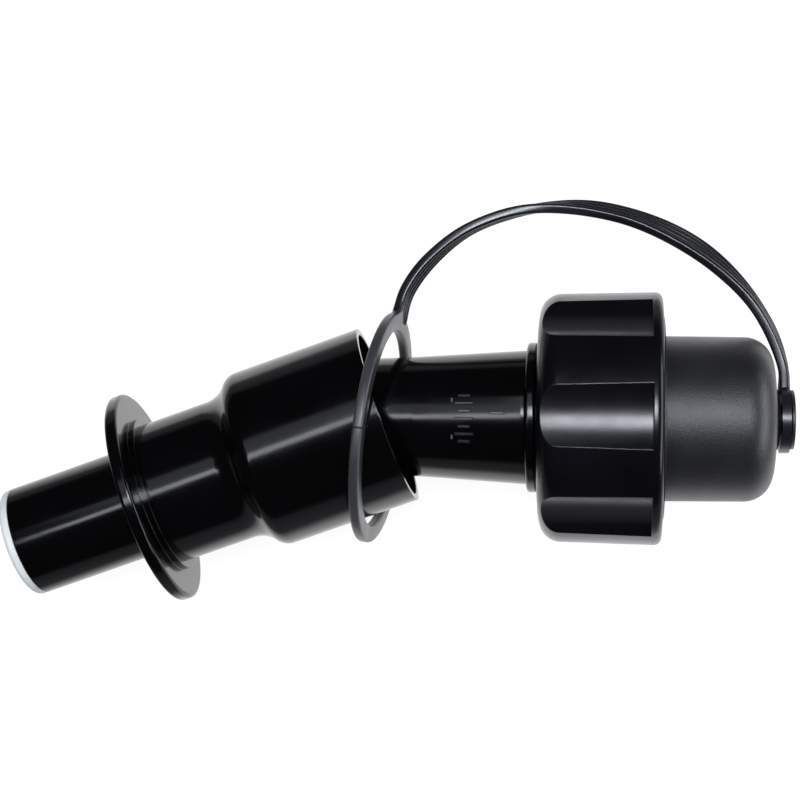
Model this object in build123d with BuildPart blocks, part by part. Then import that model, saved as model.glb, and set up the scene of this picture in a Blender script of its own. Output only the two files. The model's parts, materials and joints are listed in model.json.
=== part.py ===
from build123d import *
import math
import os

os.makedirs("parts", exist_ok=True)

# Bent anti-spill pouring spout with a captive union nut and a tethered screw cap.
# Frame: origin at the centre of the nut's open mouth, +X along the neck axis out of the nut,
# +Y toward the side the strap arches over, +Z up. Units are millimetres.

# ---- driving dimensions -------------------------------------------------------------
BEND_DEG = 20.0          # angle between the neck and the pouring tube
BEND_X = -51.8           # where the two axes meet

NECK_MOUTH_X = -17.4     # sealing face of the neck
NECK_FLANGE_X = -19.6
NECK_FLANGE_R = 16.6
NECK_STRAIGHT_X = -25.2
NECK_BIG_R = 12.4
NECK_SMALL_R = 11.2
NECK_BEND_R = 10.9
NECK_TAPER_END_X = -44.7
NECK_BORE_R = 9.2
RING_GROOVE_R = 11.6
RING_GROOVE_X = (-24.6, -22.4)
RETAINER_R = 13.9
RETAINER_X = (-24.5, -22.5)
RETAINER_GAP = 1.6
RETAINER_FILLET = 0.6

TUBE_R = 10.1            # fixed inner tube that the sleeve slides over
TUBE_BORE_R = 8.4
TUBE_END = 35.0
TUBE_BLEND = 2.0         # length over which the bend's ball runs into the tube
BORE_BLEND = 4.0
PISTON_START = 28.4
PISTON_LEAD = 1.5
PISTON_CHAMFER = 0.5
PISTON_R = 12.2
SEAL_GROOVE = (31.2, 33.6)
SEAL_GROOVE_R = 10.4

SLEEVE_OPEN = -1.1
SLEEVE_BIG_R = 17.0
SLEEVE_CUP_BORE_R = 15.8
SLEEVE_STEP = 22.4       # inner shoulder the spring pushes on
SLEEVE_STEP_CHAMFER = 0.8
SHOULDER_START = 23.5
SHOULDER_END = 30.6
SHOULDER_SPLIT = 0.35    # share of the shoulder that is its outer, convex arc
SLEEVE_SMALL_R = 13.55
SLEEVE_BORE_R = 12.3
SLEEVE_END = 43.8

HUB_R = 15.0
HUB_END = 45.0
DISC_R = 20.4
DISC_END = 47.4
DISC_FILLET = 0.7
SPIGOT_R = 10.45
SPIGOT_BORE_R = 9.2
SPIGOT_END = 71.6
SPIGOT_CHAMFER = 0.15
STUB_START = 41.6
PRESS_GAP = 0.02         # radial gap drawn between pieces that are pressed together
SEAL_GAP = 0.03          # radial gap drawn between a seal and the bore it runs in

HEAD_END = 73.4
HEAD_R = 10.4
HEAD_FILLET = 1.0
HEAD_PLUG_R = 8.7
HEAD_PLUG_START = 65.3
HEAD_PLUG_CHAMFER = 0.8
HEAD_GROOVE = (67.1, 69.5)
HEAD_GROOVE_R = 7.0
ROD_R = 2.0
ROD_START = 23.5
ROD_END = 69.2
ROD_CHAMFER = 0.5
ROD_COLLAR_R = 3.2
ROD_COLLAR = 1.2
ROD_NUT_R = 3.5
ROD_NUT_THICK = 2.2
SPIDER = (26.5, 29.5)    # cross piece inside the tube that holds the rod
SPIDER_RIM = 1.0
SPIDER_HUB_R = 3.6
SPIDER_ARM = (5.2, 1.6)
SPIDER_ARM_AT = 5.4
VENT_R = 1.9
VENT_WALL = 0.7
VENT_OFFSET = 5.7
VENT_END = 63.2
VENT_GAP = 0.05
VENT_BEND_R = 12.0
VENT_MOUTH_X = -21.0
CAGE_DEPTH = 3.4
CAGE_RIM = 1.2
CAGE_SOCKET_R = 3.2
CAGE_HUB_R = 1.4
CAGE_ARM = (7.6, 1.5)
CAGE_ARM_AT = 5.0
BALL_R = 1.5
BALL_X = -19.0

SEAT = (4.4, 6.2)
SEAT_R = 15.2
SPRING_R = 13.9
WIRE_R = 0.7
SPRING_TURNS = 5.0

NUT_BACK_X = -22.2
NUT_WALL_X = -19.8
NUT_BACK_R = 22.85
NUT_FRONT_R = 23.2
NUT_BACK_FILLET = 4.0
NUT_FRONT_FILLET = 1.3
NUT_HOLE_R = 12.9
THREAD_ROOT_R = 18.9
MOUTH_R = 19.2
MOUTH_DEPTH = 1.5
FLUTES = 7
FLUTE_FIRST_DEG = 95.4
FLUTE_CUT_R = 15.8
FLUTE_DEPTH = 1.5
FLUTE_STOP_X = -1.9

PITCH = 4.0
FEMALE_CREST_R = 17.8
MALE_CREST_R = 18.3
MALE_ROOT_R = 17.1
THREAD_BASE = 1.7
THREAD_CREST = 0.8
THREAD_SINK = 0.3
FEMALE_THREAD = (-13.0, 2.5)    # first turn's x, number of turns
MALE_THREAD = (-11.0, 2.25)

CAP_FLANGE_X = (-1.2, 0.35)
CAP_FLANGE_R = 18.65
KNOB_END = 19.9
KNOB_R = 15.15
KNOB_END_R = 14.95
KNOB_FILLET = 5.2
CAP_WALL = 2.0
CAP_BORE_R = 11.6
CAP_LEAD = 0.6
BOSS_R = (7.0, 5.2)
BOSS_END = 20.9
STUD_R = 2.8
STUD_HEAD_R = 5.4
STUD_HEAD_X = (23.05, 23.6)

EYE_X = (21.2, 22.8)
EYE_R = 6.1
EYE_HOLE_R = 3.15
STRAP_THICK = 1.9
STRAP_WIDTH = 4.0
STRAP_LINE = (
    (-49.2, 18.0), (-47.5, 24.0), (-43.2, 30.0), (-36.3, 35.6), (-27.3, 39.0), (-18.2, 39.9),
    (-9.3, 38.8), (-0.4, 35.7), (7.8, 30.8), (14.6, 24.3), (19.2, 17.3), (21.8, 10.0), (22.0, 4.4),
)

TETHER_CENTRE = (-51.85, -2.2, 0.0)
TETHER_NORMAL = (0.9905, -0.1285, 0.047)
TETHER_R = 21.6
TETHER_HOLE_R = 18.4
TETHER_THICK = 1.9

GASKET_R = (10.2, 16.6)
NECK_GASKET_X = (-17.4, -15.6)
CAP_GASKET_X = (-15.6, -14.2)

# ---- frames ---------------------------------------------------------------------------
BEND = math.radians(BEND_DEG)
POUR_DIR = Vector(-math.cos(BEND), -math.sin(BEND), 0)
BEND_POINT = Vector(BEND_X, 0, 0)
POUR = Plane(origin=BEND_POINT, x_dir=POUR_DIR, z_dir=(0, 0, 1))
POUR_AXIS = Axis(BEND_POINT, POUR_DIR)


def across(distance):
    """Plane square to the pouring tube, this far from the bend."""
    return Plane(origin=BEND_POINT + POUR_DIR * distance, x_dir=(0, 0, 1), z_dir=POUR_DIR)


def facing(x):
    """Plane square to the neck axis."""
    return Plane(origin=(x, 0, 0), x_dir=(0, 1, 0), z_dir=(1, 0, 0))


def turned_neck(points):
    """A solid turned about the neck axis from (x, radius) points."""
    with BuildSketch(Plane.XY) as face:
        with BuildLine():
            Polyline(*points, close=True)
        make_face()
    revolve(face.sketch, axis=Axis.X)


def turned_pour(points, mode=Mode.ADD):
    """A solid turned about the pouring axis from (distance, radius) points."""
    with BuildSketch(POUR) as face:
        with BuildLine():
            Polyline(*points, close=True)
        make_face()
    revolve(face.sketch, axis=POUR_AXIS, mode=mode)


def thread_ridge(start_x, turns, root_r, crest_r):
    """Helical ridge about the neck axis, its root sunk a little into the wall it stands on."""
    outward = 1 if crest_r > root_r else -1
    sunk = -THREAD_SINK * outward
    centre = Vector(start_x, 0, 0)
    half_base = THREAD_BASE / 2
    half_crest = THREAD_CREST / 2
    with BuildPart() as ridge:
        with BuildLine():
            path = Helix(PITCH, PITCH * turns, root_r, center=centre, direction=(1, 0, 0))
        radial = (path @ 0 - centre).normalized()
        with BuildSketch(Plane(origin=path @ 0, x_dir=radial, z_dir=path % 0)):
            Polygon(
                (sunk, -half_base),
                (crest_r - root_r, -half_crest),
                (crest_r - root_r, half_crest),
                (sunk, half_base),
                align=None,
            )
        sweep(path=path, is_frenet=True)
    return ridge.part


# ---- fixed spout ------------------------------------------------------------------------
with BuildPart() as spout_body:
    turned_neck((
        (BEND_X, 0), (BEND_X, NECK_BEND_R), (NECK_TAPER_END_X, NECK_SMALL_R),
        (NECK_STRAIGHT_X, NECK_BIG_R), (RING_GROOVE_X[0], NECK_BIG_R),
        (RING_GROOVE_X[0], RING_GROOVE_R), (RING_GROOVE_X[1], RING_GROOVE_R),
        (RING_GROOVE_X[1], NECK_BIG_R), (NECK_FLANGE_X, NECK_BIG_R),
        (NECK_FLANGE_X, NECK_FLANGE_R), (NECK_MOUTH_X, NECK_FLANGE_R), (NECK_MOUTH_X, 0),
    ))
    with Locations(BEND_POINT):
        Sphere(NECK_BEND_R)
    turned_pour((
        (0, 0), (0, NECK_BEND_R), (TUBE_BLEND, TUBE_R), (PISTON_START - PISTON_LEAD, TUBE_R),
        (PISTON_START, PISTON_R), (SEAL_GROOVE[0], PISTON_R), (SEAL_GROOVE[0], SEAL_GROOVE_R),
        (SEAL_GROOVE[1], SEAL_GROOVE_R), (SEAL_GROOVE[1], PISTON_R), (TUBE_END - PISTON_CHAMFER, PISTON_R),
        (TUBE_END, PISTON_R - PISTON_CHAMFER), (TUBE_END, 0),
    ))
    with BuildSketch(facing(BEND_X)):
        Circle(NECK_BORE_R)
    extrude(amount=NECK_MOUTH_X - BEND_X, mode=Mode.SUBTRACT)
    with Locations(BEND_POINT):
        Sphere(NECK_BORE_R, mode=Mode.SUBTRACT)
    turned_pour(
        ((0, 0), (0, NECK_BORE_R), (BORE_BLEND, TUBE_BORE_R), (TUBE_END, TUBE_BORE_R), (TUBE_END, 0)),
        mode=Mode.SUBTRACT,
    )

with BuildPart() as spring_seat:
    with BuildSketch(across(SEAT[0])):
        Circle(SEAT_R)
        Circle(TUBE_R + PRESS_GAP, mode=Mode.SUBTRACT)
    extrude(amount=SEAT[1] - SEAT[0])
    chamfer(spring_seat.edges().filter_by(GeomType.CIRCLE).sort_by(SortBy.RADIUS)[-2:], 0.4)

with BuildPart() as sleeve_seal:
    seal_r = (SLEEVE_BORE_R - SEAL_GAP - SEAL_GROOVE_R) / 2
    with BuildSketch(POUR):
        with Locations((sum(SEAL_GROOVE) / 2, SEAL_GROOVE_R + seal_r)):
            Circle(seal_r)
    revolve(axis=POUR_AXIS)

with BuildPart() as nut_retaining_ring:
    with BuildSketch(facing(RETAINER_X[0])):
        Circle(RETAINER_R)
        Circle(RING_GROOVE_R + PRESS_GAP, mode=Mode.SUBTRACT)
        with Locations((0, -RETAINER_R)):
            Rectangle(RETAINER_GAP, RETAINER_R, mode=Mode.SUBTRACT)
    extrude(amount=RETAINER_X[1] - RETAINER_X[0])
    fillet(nut_retaining_ring.edges().filter_by(GeomType.CIRCLE).sort_by(SortBy.RADIUS)[-2:], RETAINER_FILLET)

with BuildPart() as neck_gasket:
    with BuildSketch(facing(NECK_GASKET_X[0])):
        Circle(GASKET_R[1])
        Circle(GASKET_R[0], mode=Mode.SUBTRACT)
    extrude(amount=NECK_GASKET_X[1] - NECK_GASKET_X[0])

# ---- valve ------------------------------------------------------------------------------
with BuildPart() as rod_spider:
    with BuildSketch(across(SPIDER[0])):
        Circle(TUBE_BORE_R)
        Circle(TUBE_BORE_R - SPIDER_RIM, mode=Mode.SUBTRACT)
        Circle(SPIDER_HUB_R)
        with PolarLocations(0, 3):
            with Locations((SPIDER_ARM_AT, 0)):
                Rectangle(*SPIDER_ARM)
        Circle(ROD_R + PRESS_GAP, mode=Mode.SUBTRACT)
        with Locations((-VENT_OFFSET, 0)):
            Circle(VENT_R + VENT_GAP, mode=Mode.SUBTRACT)
    extrude(amount=SPIDER[1] - SPIDER[0])

with BuildPart() as valve_rod:
    turned_pour((
        (ROD_START, 0), (ROD_START, ROD_R - ROD_CHAMFER), (ROD_START + ROD_CHAMFER, ROD_R),
        (SPIDER[1], ROD_R), (SPIDER[1], ROD_COLLAR_R), (SPIDER[1] + ROD_COLLAR, ROD_COLLAR_R),
        (SPIDER[1] + ROD_COLLAR, ROD_R), (ROD_END, ROD_R), (ROD_END, 0),
    ))

with BuildPart() as rod_nut:
    with BuildSketch(across(SPIDER[0] - ROD_NUT_THICK)):
        RegularPolygon(ROD_NUT_R, 6)
        Circle(ROD_R + PRESS_GAP, mode=Mode.SUBTRACT)
    extrude(amount=ROD_NUT_THICK)

with BuildPart() as valve_head:
    turned_pour((
        (HEAD_PLUG_START, 0), (HEAD_PLUG_START, HEAD_PLUG_R - HEAD_PLUG_CHAMFER),
        (HEAD_PLUG_START + HEAD_PLUG_CHAMFER, HEAD_PLUG_R), (HEAD_GROOVE[0], HEAD_PLUG_R),
        (HEAD_GROOVE[0], HEAD_GROOVE_R), (HEAD_GROOVE[1], HEAD_GROOVE_R),
        (HEAD_GROOVE[1], HEAD_PLUG_R), (SPIGOT_END, HEAD_PLUG_R), (SPIGOT_END, HEAD_R),
        (HEAD_END, HEAD_R), (HEAD_END, 0),
    ))
    fillet(valve_head.edges().filter_by(GeomType.CIRCLE).group_by(SortBy.RADIUS)[-1]
           .sort_by(POUR_AXIS)[-1], HEAD_FILLET)
    with BuildSketch(across(HEAD_PLUG_START)):
        Circle(ROD_R + PRESS_GAP)
    extrude(amount=ROD_END - HEAD_PLUG_START, mode=Mode.SUBTRACT)

with BuildPart() as valve_seal:
    head_seal_r = (SPIGOT_BORE_R - SEAL_GAP - HEAD_GROOVE_R) / 2
    with BuildSketch(POUR):
        with Locations((sum(HEAD_GROOVE) / 2, HEAD_GROOVE_R + head_seal_r)):
            Circle(head_seal_r)
    revolve(axis=POUR_AXIS)

# ---- air vent ------------------------------------------------------------------------------
VENT_LEVEL = Plane.XY.offset(-VENT_OFFSET)
with BuildPart() as vent_tube:
    with BuildLine(VENT_LEVEL) as vent_line:
        FilletPolyline(
            (VENT_MOUTH_X, 0),
            (BEND_X, 0),
            (BEND_X + POUR_DIR.X * VENT_END, POUR_DIR.Y * VENT_END),
            radius=VENT_BEND_R,
        )
    with BuildSketch(Plane(origin=vent_line.line @ 0, z_dir=vent_line.line % 0)):
        Circle(VENT_R)
        Circle(VENT_R - VENT_WALL, mode=Mode.SUBTRACT)
    sweep(path=vent_line.line)

with BuildPart() as vent_cage:
    with BuildSketch(facing(VENT_MOUTH_X)):
        Circle(NECK_BORE_R)
        Circle(NECK_BORE_R - CAGE_RIM, mode=Mode.SUBTRACT)
        with Locations((0, -VENT_OFFSET)):
            Circle(CAGE_SOCKET_R)
        with PolarLocations(0, 2, start_angle=40, angular_range=100):
            with Locations((CAGE_ARM_AT, 0)):
                Rectangle(*CAGE_ARM)
        Circle(CAGE_HUB_R)
        with Locations((0, -VENT_OFFSET / 2)):
            Rectangle(CAGE_ARM[1], VENT_OFFSET)
        with Locations((0, -VENT_OFFSET)):
            Circle(VENT_R + VENT_GAP, mode=Mode.SUBTRACT)
    extrude(amount=CAGE_DEPTH)

with BuildPart() as vent_ball:
    with Locations((BALL_X, 0, -VENT_OFFSET)):
        Sphere(BALL_R)

# ---- sliding sleeve ---------------------------------------------------------------------------
with BuildPart() as sliding_sleeve:
    with BuildSketch(POUR) as sleeve_face:
        with BuildLine():
            Polyline(
                (SLEEVE_OPEN, SLEEVE_CUP_BORE_R), (SLEEVE_OPEN, SLEEVE_BIG_R),
                (SHOULDER_START, SLEEVE_BIG_R),
            )
            middle = (
                SHOULDER_START + SHOULDER_SPLIT * (SHOULDER_END - SHOULDER_START),
                SLEEVE_BIG_R + SHOULDER_SPLIT * (SLEEVE_SMALL_R - SLEEVE_BIG_R),
            )
            TangentArc((SHOULDER_START, SLEEVE_BIG_R), middle, tangent=(1, 0))
            TangentArc((SHOULDER_END, SLEEVE_SMALL_R), middle, tangent=(-1, 0))
            Polyline(
                (SHOULDER_END, SLEEVE_SMALL_R), (SLEEVE_END, SLEEVE_SMALL_R),
                (SLEEVE_END, SLEEVE_BORE_R), (SLEEVE_STEP + SLEEVE_STEP_CHAMFER, SLEEVE_BORE_R),
                (SLEEVE_STEP, SLEEVE_BORE_R + SLEEVE_STEP_CHAMFER), (SLEEVE_STEP, SLEEVE_CUP_BORE_R),
                (SLEEVE_OPEN, SLEEVE_CUP_BORE_R),
            )
        make_face()
    revolve(axis=POUR_AXIS)

with BuildPart() as tip_tube:
    turned_pour((
        (STUB_START, SPIGOT_BORE_R), (STUB_START, SLEEVE_BORE_R - PRESS_GAP),
        (SLEEVE_END, SLEEVE_BORE_R - PRESS_GAP), (SLEEVE_END, HUB_R), (HUB_END, HUB_R),
        (HUB_END, DISC_R), (DISC_END, DISC_R), (DISC_END, SPIGOT_R), (SPIGOT_END, SPIGOT_R),
        (SPIGOT_END, SPIGOT_BORE_R),
    ))
    fillet(tip_tube.edges().filter_by(GeomType.CIRCLE).group_by(SortBy.RADIUS)[-1], DISC_FILLET)
    chamfer(tip_tube.edges().filter_by(GeomType.CIRCLE).sort_by(POUR_AXIS)[-2:], SPIGOT_CHAMFER)

with BuildPart() as return_spring:
    spring_start = SEAT[1] + WIRE_R
    spring_length = SLEEVE_STEP - SEAT[1] - 2 * WIRE_R
    with BuildLine():
        coil = Helix(
            spring_length / SPRING_TURNS, spring_length, SPRING_R,
            center=BEND_POINT + POUR_DIR * spring_start, direction=POUR_DIR,
        )
    with BuildSketch(Plane(origin=coil @ 0, z_dir=coil % 0)):
        Circle(WIRE_R)
    sweep(path=coil, is_frenet=True)

# ---- union nut -------------------------------------------------------------------------------
nut_thread = thread_ridge(*FEMALE_THREAD, THREAD_ROOT_R, FEMALE_CREST_R)
with BuildPart() as union_nut:
    turned_neck((
        (NUT_BACK_X, 0), (NUT_BACK_X, NUT_BACK_R), (0, NUT_FRONT_R), (0, 0),
    ))
    rims = union_nut.edges().filter_by(GeomType.CIRCLE).sort_by(Axis.X)
    fillet(rims[0], NUT_BACK_FILLET)
    fillet(union_nut.edges().filter_by(GeomType.CIRCLE).sort_by(Axis.X)[-1], NUT_FRONT_FILLET)
    with BuildSketch(facing(NUT_BACK_X - 1)):
        with PolarLocations(NUT_BACK_R - FLUTE_DEPTH + FLUTE_CUT_R, FLUTES, start_angle=FLUTE_FIRST_DEG):
            Circle(FLUTE_CUT_R)
    extrude(amount=FLUTE_STOP_X - NUT_BACK_X + 1, mode=Mode.SUBTRACT)
    with BuildSketch(facing(NUT_BACK_X)):
        Circle(NUT_HOLE_R)
    extrude(amount=NUT_WALL_X - NUT_BACK_X, mode=Mode.SUBTRACT)
    with BuildSketch(facing(NUT_WALL_X)):
        Circle(THREAD_ROOT_R)
    extrude(amount=-NUT_WALL_X, mode=Mode.SUBTRACT)
    with BuildSketch(facing(-MOUTH_DEPTH)):
        Circle(MOUTH_R)
    extrude(amount=MOUTH_DEPTH, mode=Mode.SUBTRACT)
    add(nut_thread)

# ---- cap ----------------------------------------------------------------------------------------
cap_thread = thread_ridge(*MALE_THREAD, MALE_ROOT_R, MALE_CREST_R)
with BuildPart() as cap:
    turned_neck((
        (CAP_GASKET_X[1], CAP_BORE_R), (CAP_GASKET_X[1], MALE_ROOT_R - CAP_LEAD),
        (CAP_GASKET_X[1] + CAP_LEAD, MALE_ROOT_R), (CAP_FLANGE_X[0], MALE_ROOT_R),
        (CAP_FLANGE_X[0], CAP_FLANGE_R), (CAP_FLANGE_X[1], CAP_FLANGE_R),
        (CAP_FLANGE_X[1], KNOB_R), (KNOB_END, KNOB_END_R), (KNOB_END, BOSS_R[0]),
        (BOSS_END, BOSS_R[1]), (BOSS_END, STUD_R), (STUD_HEAD_X[0], STUD_R),
        (STUD_HEAD_X[0], STUD_HEAD_R), (STUD_HEAD_X[1], STUD_HEAD_R), (STUD_HEAD_X[1], 0),
        (KNOB_END - CAP_WALL, 0), (KNOB_END - CAP_WALL, CAP_BORE_R),
    ))
    knob_rim = cap.edges().filter_by(GeomType.CIRCLE).filter_by(
        lambda e: abs(e.radius - KNOB_END_R) < 0.01)
    fillet(knob_rim, KNOB_FILLET)
    add(cap_thread)

with BuildPart() as cap_gasket:
    with BuildSketch(facing(CAP_GASKET_X[0])):
        Circle(GASKET_R[1])
        Circle(GASKET_R[0], mode=Mode.SUBTRACT)
    extrude(amount=CAP_GASKET_X[1] - CAP_GASKET_X[0])

# ---- tether ---------------------------------------------------------------------------------------
TETHER_PLANE = Plane(origin=TETHER_CENTRE, x_dir=(0.1285, 0.9905, 0), z_dir=TETHER_NORMAL)
with BuildPart() as tether_ring:
    with BuildSketch(TETHER_PLANE.offset(-TETHER_THICK / 2)):
        Circle(TETHER_R)
        Circle(TETHER_HOLE_R, mode=Mode.SUBTRACT)
    extrude(amount=TETHER_THICK)

with BuildPart() as tether_eye:
    with BuildSketch(facing(EYE_X[0])):
        Circle(EYE_R)
        Circle(EYE_HOLE_R, mode=Mode.SUBTRACT)
    extrude(amount=EYE_X[1] - EYE_X[0])

with BuildPart() as tether_strap:
    with BuildSketch(Plane.XY):
        with BuildLine() as strap_line:
            Spline(*STRAP_LINE)
        trace(line_width=STRAP_THICK)
    extrude(amount=STRAP_WIDTH / 2, both=True)
    with BuildSketch(facing(EYE_X[0] - 2)):
        Circle(EYE_R)
    extrude(amount=8, mode=Mode.SUBTRACT)
    with BuildSketch(TETHER_PLANE.offset(-6)):
        Circle(TETHER_R)
    extrude(amount=12, mode=Mode.SUBTRACT)

PARTS = {
    "spout_body": spout_body,
    "spring_seat": spring_seat,
    "sleeve_seal": sleeve_seal,
    "nut_retaining_ring": nut_retaining_ring,
    "neck_gasket": neck_gasket,
    "rod_spider": rod_spider,
    "valve_rod": valve_rod,
    "rod_nut": rod_nut,
    "valve_head": valve_head,
    "valve_seal": valve_seal,
    "vent_tube": vent_tube,
    "vent_cage": vent_cage,
    "vent_ball": vent_ball,
    "sliding_sleeve": sliding_sleeve,
    "tip_tube": tip_tube,
    "return_spring": return_spring,
    "union_nut": union_nut,
    "cap": cap,
    "cap_gasket": cap_gasket,
    "tether_ring": tether_ring,
    "tether_strap": tether_strap,
    "tether_eye": tether_eye,
}

for node, built in PARTS.items():
    built.part.label = node
    export_step(built.part, f"parts/{node}.step")
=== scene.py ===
import json
import math

import bmesh
import bpy
from mathutils import Matrix, Vector


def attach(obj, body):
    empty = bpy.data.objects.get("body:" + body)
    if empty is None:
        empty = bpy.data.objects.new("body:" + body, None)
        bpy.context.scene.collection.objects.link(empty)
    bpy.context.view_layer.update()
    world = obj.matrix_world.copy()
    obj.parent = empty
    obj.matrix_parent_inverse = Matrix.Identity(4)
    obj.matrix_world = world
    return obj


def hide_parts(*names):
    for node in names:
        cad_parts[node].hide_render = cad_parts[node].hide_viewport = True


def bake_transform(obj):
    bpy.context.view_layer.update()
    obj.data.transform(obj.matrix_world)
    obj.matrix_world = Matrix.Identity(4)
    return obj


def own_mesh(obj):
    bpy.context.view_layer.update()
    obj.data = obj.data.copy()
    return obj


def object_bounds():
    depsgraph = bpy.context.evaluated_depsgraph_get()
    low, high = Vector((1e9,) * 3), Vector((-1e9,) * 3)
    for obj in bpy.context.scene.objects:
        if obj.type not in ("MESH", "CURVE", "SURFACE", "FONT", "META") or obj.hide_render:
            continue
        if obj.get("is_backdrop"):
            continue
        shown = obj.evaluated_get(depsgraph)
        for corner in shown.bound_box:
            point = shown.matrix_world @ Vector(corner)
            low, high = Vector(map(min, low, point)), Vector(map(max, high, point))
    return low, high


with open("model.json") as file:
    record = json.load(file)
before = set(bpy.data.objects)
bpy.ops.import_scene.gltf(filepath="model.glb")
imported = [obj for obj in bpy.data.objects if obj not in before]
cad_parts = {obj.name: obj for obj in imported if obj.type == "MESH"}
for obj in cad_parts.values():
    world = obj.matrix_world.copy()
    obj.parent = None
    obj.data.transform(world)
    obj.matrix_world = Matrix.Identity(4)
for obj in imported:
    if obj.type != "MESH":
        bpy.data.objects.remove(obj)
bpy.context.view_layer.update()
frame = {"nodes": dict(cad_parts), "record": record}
NODES = frame["nodes"]
MM = 0.001

# The same driving dimensions as the CAD, in millimetres.
STRAP_LINE = (
    (-49.2, 18.0), (-47.5, 24.0), (-43.2, 30.0), (-36.3, 35.6), (-27.3, 39.0), (-18.2, 39.9),
    (-9.3, 38.8), (-0.4, 35.7), (7.8, 30.8), (14.6, 24.3), (19.2, 17.3), (21.8, 10.0), (22.0, 4.4),
)
CROWN = 5                # index of the strap's highest point, where its two halves meet
STRAP_THICK = 1.9
BEND_X = -51.8           # where the pouring axis leaves the neck's
BEND = math.radians(20)
SPRING_ENDS = (6.25, 22.35)    # a hair inside the seat and the sleeve's shoulder
SPRING_R = 13.9
WIRE_R = 0.7
SPRING_TURNS = 5
TETHER_CENTRE = Vector((-51.85, -2.2, 0.0))
TETHER_NORMAL = Vector((0.9905, -0.1285, 0.047)).normalized()
TETHER_R = 21.6
TETHER_HOLE_R = 18.4
TETHER_THICK = 1.9
NECK_TAPER = ((-44.7, 11.2), (-25.2, 12.4))    # (x, radius) at the cone's ends


WAVE_DEPTH = 0.03        # how far a moulded wall waves


# ---- materials ------------------------------------------------------------------------
def new_material(name):
    mat = bpy.data.materials.new(name)
    mat.use_nodes = True
    tree = mat.node_tree
    return mat, tree, tree.nodes["Principled BSDF"]


def noise(tree, scale, detail=3.0, rough=0.55):
    """Noise in object space, its scale in cells a millimetre."""
    coord = tree.nodes.new("ShaderNodeTexCoord")
    mapping = tree.nodes.new("ShaderNodeMapping")
    mapping.inputs["Scale"].default_value = (1 / MM, 1 / MM, 1 / MM)
    tree.links.new(coord.outputs["Object"], mapping.inputs["Vector"])
    tex = tree.nodes.new("ShaderNodeTexNoise")
    tex.inputs["Scale"].default_value = scale
    tex.inputs["Detail"].default_value = detail
    tex.inputs["Roughness"].default_value = rough
    tree.links.new(mapping.outputs["Vector"], tex.inputs["Vector"])
    return tex.outputs["Fac"]


def spread(tree, value, low, high, start=0.3, end=0.7):
    """Maps a 0 to 1 value to a range."""
    node = tree.nodes.new("ShaderNodeMapRange")
    node.inputs["From Min"].default_value = start
    node.inputs["From Max"].default_value = end
    node.inputs["To Min"].default_value = low
    node.inputs["To Max"].default_value = high
    tree.links.new(value, node.inputs["Value"])
    return node.outputs["Result"]


def two_tone(tree, factor, dark, light):
    mix = tree.nodes.new("ShaderNodeMix")
    mix.data_type = "RGBA"
    mix.inputs["A"].default_value = (*dark, 1)
    mix.inputs["B"].default_value = (*light, 1)
    tree.links.new(factor, mix.inputs["Factor"])
    return mix.outputs["Result"]


def bump(tree, bsdf, layers, rounding=0.22):
    """Rounds sharp edges a little, then stacks bump layers of (height, strength, depth in mm)."""
    bevel = tree.nodes.new("ShaderNodeBevel")
    bevel.samples = 6
    bevel.inputs["Radius"].default_value = rounding * MM
    previous = bevel.outputs["Normal"]
    for height, strength, depth in layers:
        node = tree.nodes.new("ShaderNodeBump")
        node.inputs["Strength"].default_value = strength
        node.inputs["Distance"].default_value = depth * MM
        tree.links.new(height, node.inputs["Height"])
        tree.links.new(previous, node.inputs["Normal"])
        previous = node.outputs["Normal"]
    tree.links.new(previous, bsdf.inputs["Normal"])


def moulded(name, dark, light, rough, grain, grain_depth, specular=0.5, rounding=0.22):
    """Injection-moulded plastic: faint flow tone, uneven gloss, slight waviness and fine grain."""
    mat, tree, bsdf = new_material(name)
    flow = two_tone(tree, spread(tree, noise(tree, 0.06, 3), 0, 1), dark, light)
    tree.links.new(flow, bsdf.inputs["Base Color"])
    tree.links.new(spread(tree, noise(tree, 0.15, 5), *rough), bsdf.inputs["Roughness"])
    bsdf.inputs["IOR"].default_value = 1.49
    bsdf.inputs["Specular IOR Level"].default_value = specular
    bump(tree, bsdf, (
        (noise(tree, 0.1, 2), 1.0, WAVE_DEPTH),
        (noise(tree, grain, 2, 0.6), 1.0, grain_depth),
    ), rounding)
    return mat


def rubber(name):
    mat, tree, bsdf = new_material(name)
    tone = two_tone(tree, spread(tree, noise(tree, 0.5, 4), 0, 1), (0.012,) * 3, (0.026,) * 3)
    tree.links.new(tone, bsdf.inputs["Base Color"])
    tree.links.new(spread(tree, noise(tree, 1.0, 3), 0.5, 0.75), bsdf.inputs["Roughness"])
    bump(tree, bsdf, ((noise(tree, 4.0, 2), 0.2, 0.03),))
    return mat


def white_plastic(name):
    """Natural, slightly translucent acetal."""
    mat, tree, bsdf = new_material(name)
    tone = two_tone(
        tree, spread(tree, noise(tree, 0.25, 3), 0, 1), (0.74, 0.77, 0.73), (0.84, 0.86, 0.82))
    tree.links.new(tone, bsdf.inputs["Base Color"])
    tree.links.new(spread(tree, noise(tree, 0.6, 4), 0.3, 0.5), bsdf.inputs["Roughness"])
    bsdf.inputs["Subsurface Weight"].default_value = 0.25
    bsdf.inputs["Subsurface Radius"].default_value = (1.2 * MM, 1.3 * MM, 1.0 * MM)
    bsdf.inputs["Subsurface Scale"].default_value = 1.0
    bump(tree, bsdf, ((noise(tree, 1.2, 3), 0.15, 0.04),))
    return mat


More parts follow.
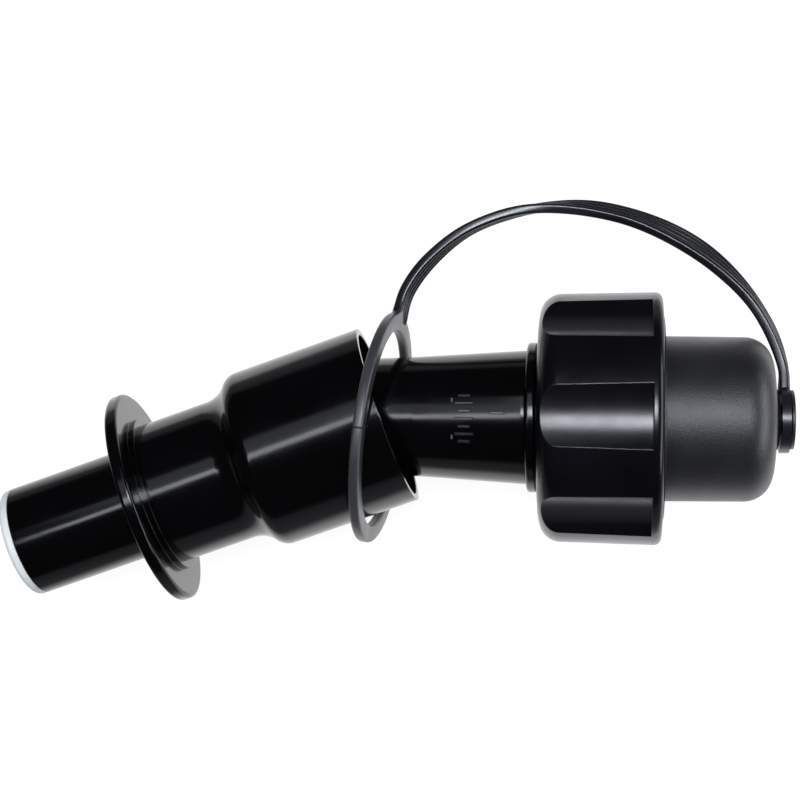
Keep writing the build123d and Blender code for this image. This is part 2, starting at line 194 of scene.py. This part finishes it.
def drawn_steel(name):
    mat, tree, bsdf = new_material(name)
    tone = two_tone(
        tree, spread(tree, noise(tree, 0.8, 4), 0, 1), (0.42, 0.42, 0.41), (0.62, 0.62, 0.6))
    tree.links.new(tone, bsdf.inputs["Base Color"])
    bsdf.inputs["Metallic"].default_value = 1.0
    tree.links.new(spread(tree, noise(tree, 2.0, 3), 0.22, 0.4), bsdf.inputs["Roughness"])
    bump(tree, bsdf, ((noise(tree, 6.0, 2), 0.15, 0.02),))
    return mat


GLOSS = moulded(
    "gloss_black", (0.0008, 0.0008, 0.001), (0.0016, 0.0016, 0.002), (0.11, 0.16), 3.0, 0.0004)
NUT_FINISH = moulded(
    "nut_black", (0.002, 0.002, 0.003), (0.0035, 0.0035, 0.0055), (0.2, 0.26), 2.6, 0.0015)
CAP_FINISH = moulded(
    "cap_black", (0.008, 0.008, 0.009), (0.012, 0.012, 0.0135), (0.36, 0.44), 4.2, 0.06,
    specular=1.0)
STRAP_FINISH = moulded(
    "strap_black", (0.005, 0.005, 0.007), (0.009, 0.009, 0.013), (0.24, 0.32), 3.0, 0.001,
    specular=0.9, rounding=0.03)
# Painted sheen: the ring's black is several times lighter than the strap's, though ring and strap are
# one moulded part, so that the ring's near band looks lit.
RING_SHEEN_FINISH = moulded(
    "ring_painted_sheen_black", (0.03, 0.031, 0.034), (0.044, 0.045, 0.048), (0.3, 0.42), 3.0, 0.002,
    specular=1.0, rounding=0.15)
MARK_FINISH = moulded(
    "mark_black", (0.01, 0.01, 0.012), (0.016, 0.016, 0.018), (0.3, 0.4), 3.0, 0.004,
    specular=1.0, rounding=0.05)
WHITE = white_plastic("natural_white")
SEAL = rubber("seal_rubber")
STEEL = drawn_steel("spring_steel")
SLOT_FINISH = {
    "black_gloss": GLOSS,
    "black_nut": NUT_FINISH,
    "black_matte": CAP_FINISH,
    "black_strap": STRAP_FINISH,
    "natural_white": WHITE,
    "seal_rubber": SEAL,
    "grey_gasket": SEAL,
    "spring_steel": STEEL,
}


def dress_cad():
    """Gives every CAD node the finish of its material slot."""
    slot_of = {s["node"]: s["material_slot"] for s in frame["record"]["subparts"]}
    for node, obj in NODES.items():
        obj.data.materials.clear()
        obj.data.materials.append(SLOT_FINISH[slot_of[node]])


# ---- mesh helpers -----------------------------------------------------------------------
def mesh_object(name, verts, faces, material, smooth_deg=40):
    """A mesh piece from points in millimetres."""
    mesh = bpy.data.meshes.new(name)
    mesh.from_pydata([Vector(v) * MM for v in verts], [], faces)
    work = bmesh.new()
    work.from_mesh(mesh)
    bmesh.ops.remove_doubles(work, verts=work.verts, dist=1e-7)
    bmesh.ops.recalc_face_normals(work, faces=work.faces)
    work.to_mesh(mesh)
    work.free()
    mesh.materials.append(material)
    obj = bpy.data.objects.new(name, mesh)
    bpy.context.scene.collection.objects.link(obj)
    for face in mesh.polygons:
        face.use_smooth = True
    mesh.set_sharp_from_angle(angle=math.radians(smooth_deg))
    return obj


def loft(rings, closed=False):
    """Vertices and faces of a tube through equal rings of points; open tubes get end caps."""
    count = len(rings[0])
    verts = [p for ring in rings for p in ring]
    faces = []
    spans = len(rings) if closed else len(rings) - 1
    for i in range(spans):
        a, b = i * count, (i + 1) % len(rings) * count
        for k in range(count):
            n = (k + 1) % count
            faces.append((a + k, a + n, b + n, b + k))
    if not closed:
        faces.append(tuple(range(count))[::-1])
        faces.append(tuple(range((len(rings) - 1) * count, len(rings) * count)))
    return verts, faces


def spline_points(points, steps):
    """Catmull-Rom through the points, steps to a span."""
    pts = [Vector((*p, 0)) for p in points]
    pts = [2 * pts[0] - pts[1], *pts, 2 * pts[-1] - pts[-2]]
    out = []
    for i in range(1, len(pts) - 2):
        p0, p1, p2, p3 = pts[i - 1:i + 3]
        for k in range(steps):
            t = k / steps
            out.append(0.5 * (
                2 * p1 + (p2 - p0) * t + (2 * p0 - 5 * p1 + 4 * p2 - p3) * t * t
                + (3 * p1 - p0 - 3 * p2 + p3) * t ** 3))
    out.append(pts[-2])
    return out


def between(value, stops):
    """Smooth interpolation through (place, value) stops."""
    for (a, low), (b, high) in zip(stops, stops[1:]):
        if value <= b:
            t = max(0.0, (value - a) / (b - a))
            return low + (high - low) * t * t * (3 - 2 * t)
    return stops[-1][1]


# ---- tether -----------------------------------------------------------------------------
STEPS = 14               # rings to a span of the strap's line
TWIST = ((0.0, -12), (0.12, -12), (0.3, 4), (0.5, 42), (0.62, 50), (0.82, 20), (1.0, 0))  # degrees
WIDTH = ((0.0, 5.0), (0.05, 4.2), (0.45, 4.2), (0.7, 4.7), (0.9, 4.2), (1.0, 4.6))
STRAP_EDGE = 0.55
GROOVES = (-1.05, 0.0, 1.05)
GROOVE_HALF = 0.42
GROOVE_DEPTH = 0.3
WEB_REACH = 5.5          # how far the web at the strap's root runs along the ring
WEB_HEIGHT = 1.5
NOTCH_DEG = 96.0         # where the mould's parting line crosses the ring
NOTCH_HALF_DEG = 0.8
NOTCH_DEPTH = 0.22


CORNERS = ((1, 1, 0), (-1, 1, 90), (-1, -1, 180), (1, -1, 270))   # sides and first degree


def corner(side_w, side_h, start, half_w, half_h, edge, steps=4):
    """Points round one corner of a rectangle."""
    angles = [math.radians(start + 90 * k / steps) for k in range(steps + 1)]
    return [
        (side_w * (half_w - edge) + edge * math.cos(a), side_h * (half_h - edge) + edge * math.sin(a))
        for a in angles]


def rounded_box(half_w, half_h, edge):
    """Outline of a rectangle with rounded corners, counter-clockwise."""
    return [p for place in CORNERS for p in corner(*place, half_w, half_h, edge)]


def tether_ring():
    """The loose ring: a rounded flat section, a web at the strap's root and a parting notch."""
    up = Vector((0, 1, 0))
    up = (up - TETHER_NORMAL * up.dot(TETHER_NORMAL)).normalized()
    side = TETHER_NORMAL.cross(up)
    degrees = sorted(set(
        [2.0 * k for k in range(180)]
        + [NOTCH_DEG + NOTCH_HALF_DEG * k for k in (-1, -0.5, 0.5, 1)]))
    rings = []
    for deg in degrees:
        angle = math.radians(deg)
        along = abs((deg + 180) % 360 - 180) * math.radians(1) * TETHER_R
        web = WEB_HEIGHT * max(0.0, 1 - along / WEB_REACH) ** 2
        notch = NOTCH_DEPTH if abs(deg - NOTCH_DEG) <= NOTCH_HALF_DEG / 2 else 0.0
        low, high = TETHER_HOLE_R + notch, TETHER_R + web - notch
        outward = up * math.cos(angle) + side * math.sin(angle)
        middle = TETHER_CENTRE + outward * (low + high) / 2
        rings.append([
            middle + outward * w + TETHER_NORMAL * h
            for w, h in rounded_box((high - low) / 2, TETHER_THICK / 2 - notch, 0.5)])
    verts, faces = loft(rings, closed=True)
    # The ring takes the lighter black that carries its painted sheen.
    ring = mesh_object("tether_ring_moulded", verts, faces, RING_SHEEN_FINISH, 35)
    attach(ring, "sleeve")
    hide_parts("tether_ring")


def strap_section(width):
    """Outline of the strap across its length: rounded edges and shallow grooves on each face."""
    half_t = STRAP_THICK / 2
    outline = []
    for place in CORNERS:
        outline += corner(*place, width / 2, half_t, STRAP_EDGE)
        _, side, start = place
        if start in (0, 180):
            for centre in (GROOVES[::-1] if side > 0 else GROOVES):
                for k in range(-3, 4):
                    across = centre - side * k / 3 * GROOVE_HALF
                    depth = GROOVE_DEPTH * math.cos(math.pi / 6 * k)
                    outline.append((across, side * (half_t - depth)))
    return outline


def strap_half(name, first, last):
    line = spline_points(STRAP_LINE, STEPS)
    total = len(line) - 1
    rings = []
    for i in range(first * STEPS, last * STEPS + 1):
        ahead, behind = line[min(i + 1, total)], line[max(i - 1, 0)]
        along = (ahead - behind).normalized()
        up = Vector((0, 0, 1))
        outward = along.cross(up)
        share = i / total
        turn = Matrix.Rotation(math.radians(between(share, TWIST)), 3, along)
        wide, thick = turn @ up, turn @ outward
        rings.append([
            line[i] + wide * w + thick * t for w, t in strap_section(between(share, WIDTH))])
    verts, faces = loft(rings)
    return mesh_object(name, verts, faces, STRAP_FINISH, 65)


def strap():
    ring_half = strap_half("strap_ring_half", 0, CROWN)
    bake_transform(ring_half)
    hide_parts("tether_strap")
    eye_half = strap_half("strap_eye_half", CROWN, len(STRAP_LINE) - 1)
    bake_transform(eye_half)
    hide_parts("tether_strap")


# ---- return spring ------------------------------------------------------------------------
STEPS_A_TURN = 36
WIRE_SIDES = 12


def spring():
    """The spring as a helix of wire, fixed to the spout."""
    out = Vector((-math.cos(BEND), -math.sin(BEND), 0))
    across = Vector((out.y, -out.x, 0))
    up = Vector((0, 0, 1))
    seat = Vector((BEND_X, 0, 0)) + out * SPRING_ENDS[0]
    length = SPRING_ENDS[1] - SPRING_ENDS[0]
    steps = SPRING_TURNS * STEPS_A_TURN
    corners = [math.tau * k / WIRE_SIDES for k in range(WIRE_SIDES)]
    rings = []
    for i in range(steps + 1):
        turn = math.tau * SPRING_TURNS * i / steps
        radial = across * math.cos(turn) + up * math.sin(turn)
        middle = seat + radial * SPRING_R + out * (WIRE_R + (length - 2 * WIRE_R) * i / steps)
        rings.append([
            middle + (radial * math.cos(a) + out * math.sin(a)) * WIRE_R for a in corners])
    verts, faces = loft(rings)
    wire = mesh_object("return_spring_wire", verts, faces, STEEL)
    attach(wire, "spout")
    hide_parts("return_spring")
    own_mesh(wire)


# ---- moulded marks ------------------------------------------------------------------------
MARK_HEIGHT = 0.2
MARK_SINK = 0.15
MARK_DRAFT = 0.12        # how much narrower the top of a mark is
MARK_LINE = 0.5
ROW_X = -35.4
ROW_FIRST_DEG = 77.5
ROW_STEP_DEG = 6.8
ROW_LENGTHS = (2.2, 3.4) * 3 + (2.2,)
UNDERLINE = (-37.6, 98.0, MARK_LINE, 7.6)      # x, degrees round the neck, length, width
TICK = (-29.4, 92.8, 2.6, MARK_LINE)


def cone_radius(x):
    (x0, r0), (x1, r1) = NECK_TAPER
    return r0 + (r1 - r0) * (x - x0) / (x1 - x0)


def neck_mark(x, turn_deg, length, width):
    """Vertices and faces of one raised dash on the neck, long along the axis."""
    rows = []
    for shrink, rise in ((0, -MARK_SINK), (0, MARK_HEIGHT * 0.4), (MARK_DRAFT, MARK_HEIGHT)):
        row = []
        for sx, sy in ((-1, -1), (1, -1), (1, 1), (-1, 1)):
            place = x + sx * (length / 2 - shrink)
            radius = cone_radius(place)
            angle = math.radians(turn_deg) + sy * (width / 2 - shrink) / radius
            row.append((
                place, (radius + rise) * math.cos(angle), (radius + rise) * math.sin(angle)))
        rows.append(row)
    return loft(rows)


def marks():
    """A plain row of dashes and one tick, where such spouts carry their moulded marking."""
    dashes = [
        (ROW_X, ROW_FIRST_DEG + ROW_STEP_DEG * k, length, MARK_LINE)
        for k, length in enumerate(ROW_LENGTHS)]
    dashes += [UNDERLINE, TICK]
    verts, faces = [], []
    for dash in dashes:
        more, sides = neck_mark(*dash)
        faces += [tuple(i + len(verts) for i in side) for side in sides]
        verts += more
    row = mesh_object("neck_marks", verts, faces, MARK_FINISH, 30)
    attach(row, "spout")


# ---- camera, light and floor ----------------------------------------------------------------
CAM_TURN_DEG = (7.06, 7.37, 1.35)      # away from looking straight down
CAM_PLACE = Vector((-8.8, -33.5, 300.3)) * MM
LENS = 73.1


def camera():
    """Looks down on the spout as it lies on its side, a little from the cap's end."""
    data = bpy.data.cameras.new("camera")
    data.lens = LENS
    data.sensor_width = 36.0
    data.clip_start = 0.01
    data.clip_end = 20
    cam = bpy.data.objects.new("camera", data)
    bpy.context.scene.collection.objects.link(cam)
    cam.location = CAM_PLACE
    cam.rotation_euler = [math.radians(a) for a in CAM_TURN_DEG]
    bpy.context.scene.camera = cam


LAMP_TINT = (0.88, 0.92, 1.0)


def area_light(name, place, size, radiance, turn_deg=0.0, tip_deg=0.0, mirrored=True):
    """A softbox that faces down unless tipped. Metres, and watts a square metre and steradian."""
    data = bpy.data.lights.new(name, "AREA")
    data.shape = "RECTANGLE"
    data.size, data.size_y = size
    data.energy = radiance * math.pi * size[0] * size[1]
    data.color = LAMP_TINT
    light = bpy.data.objects.new(name, data)
    light.location = place
    light.rotation_euler = (0, math.radians(tip_deg), math.radians(turn_deg))
    light.visible_glossy = mirrored
    bpy.context.scene.collection.objects.link(light)


FLOOR_SIZE = 6
FLOOR_DROP = 0.0002            # just below the lowest piece
GLOW = 1.0                     # how bright the lit patch and the rest are to the object
GLOW_FAR = 0.05
GLOW_FADE = (0.052, 0.075)     # metres from the sheet's middle
GLOW_MIDDLE = (-0.035, 0.006)
GLOW_LONG = 1.9                # how much longer than wide the lit patch is
PAPER = 0.92                   # how bright the sheet and the wall look to the camera
WALL = 0.92
ROOM = 0.02                    # how much the wall lights the object


def seen(tree, unseen, bright):
    """One value for what the camera sees itself and one for what lights the object."""
    path = tree.nodes.new("ShaderNodeLightPath")
    mix = tree.nodes.new("ShaderNodeMix")
    mix.inputs["B"].default_value = bright
    if isinstance(unseen, float):
        mix.inputs["A"].default_value = unseen
    else:
        tree.links.new(unseen, mix.inputs["A"])
    tree.links.new(path.outputs["Is Camera Ray"], mix.inputs["Factor"])
    return mix.outputs["Result"]


def floor():
    """A pale sheet that glows under the object, as on a light table.

    The far part is pale to look at and dark in the object's own reflections.
    """
    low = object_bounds()[0].z
    mat, tree, bsdf = new_material("floor_paper")
    tone = two_tone(
        tree, spread(tree, noise(tree, 0.02, 2), 0, 1), (0.14, 0.14, 0.14), (0.16, 0.16, 0.16))
    tree.links.new(tone, bsdf.inputs["Base Color"])
    bsdf.inputs["Roughness"].default_value = 0.9
    bsdf.inputs["Specular IOR Level"].default_value = 0.1
    coord = tree.nodes.new("ShaderNodeTexCoord")
    shape = tree.nodes.new("ShaderNodeVectorMath")
    shape.operation = "MULTIPLY"
    shape.inputs[1].default_value = (1 / GLOW_LONG, 1, 1)
    tree.links.new(coord.outputs["Object"], shape.inputs[0])
    size = tree.nodes.new("ShaderNodeVectorMath")
    size.operation = "ABSOLUTE"
    tree.links.new(shape.outputs["Vector"], size.inputs[0])
    parts = tree.nodes.new("ShaderNodeSeparateXYZ")
    tree.links.new(size.outputs["Vector"], parts.inputs["Vector"])
    reach = tree.nodes.new("ShaderNodeMath")
    reach.operation = "MAXIMUM"
    tree.links.new(parts.outputs["X"], reach.inputs[0])
    tree.links.new(parts.outputs["Y"], reach.inputs[1])
    bsdf.inputs["Emission Color"].default_value = (1, 1, 1, 1)
    lit = spread(tree, reach.outputs["Value"], GLOW, GLOW_FAR, *GLOW_FADE)
    tree.links.new(seen(tree, lit, PAPER), bsdf.inputs["Emission Strength"])
    bpy.ops.mesh.primitive_plane_add(
        size=FLOOR_SIZE, location=(*GLOW_MIDDLE, low - FLOOR_DROP))
    plane = bpy.context.object
    plane.name = "floor"
    plane.data.materials.append(mat)
    plane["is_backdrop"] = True


def lighting():
    """Softboxes overhead, one at the cap's side, and a fill that shows in no reflection."""
    world = bpy.data.worlds.new("studio")
    bpy.context.scene.world = world
    world.use_nodes = True
    background = world.node_tree.nodes["Background"]
    background.inputs["Color"].default_value = (0.95, 0.97, 1.0, 1)
    world.node_tree.links.new(
        seen(world.node_tree, ROOM, WALL), background.inputs["Strength"])
    area_light("key_right", (-0.08, 0.018, 0.75), (0.07, 0.08), 9.0)
    area_light("key_left", (-0.225, -0.092, 0.75), (0.24, 0.08), 6.0, 37)
    area_light("key_nut", (-0.012, 0.03, 0.745), (0.065, 0.18), 32.0)
    area_light("key_end", (0.085, 0.01, 0.745), (0.11, 0.13), 21.0)
    area_light("panel_right", (-0.115, 0.2, 0.76), (0.14, 0.46), 1.0)
    area_light("panel_left", (-0.25, 0.07, 0.76), (0.24, 0.28), 0.7, 37)
    area_light("side_right", (0.33, 0.0, 0.13), (0.14, 0.5), 4.0, tip_deg=78)
    area_light("fill", (-0.1, 0.0, 0.7), (1.0, 1.0), 1.6, mirrored=False)
    bpy.context.scene.view_settings.view_transform = "Standard"


dress_cad()
tether_ring()
strap()
spring()
marks()
floor()
lighting()
camera()
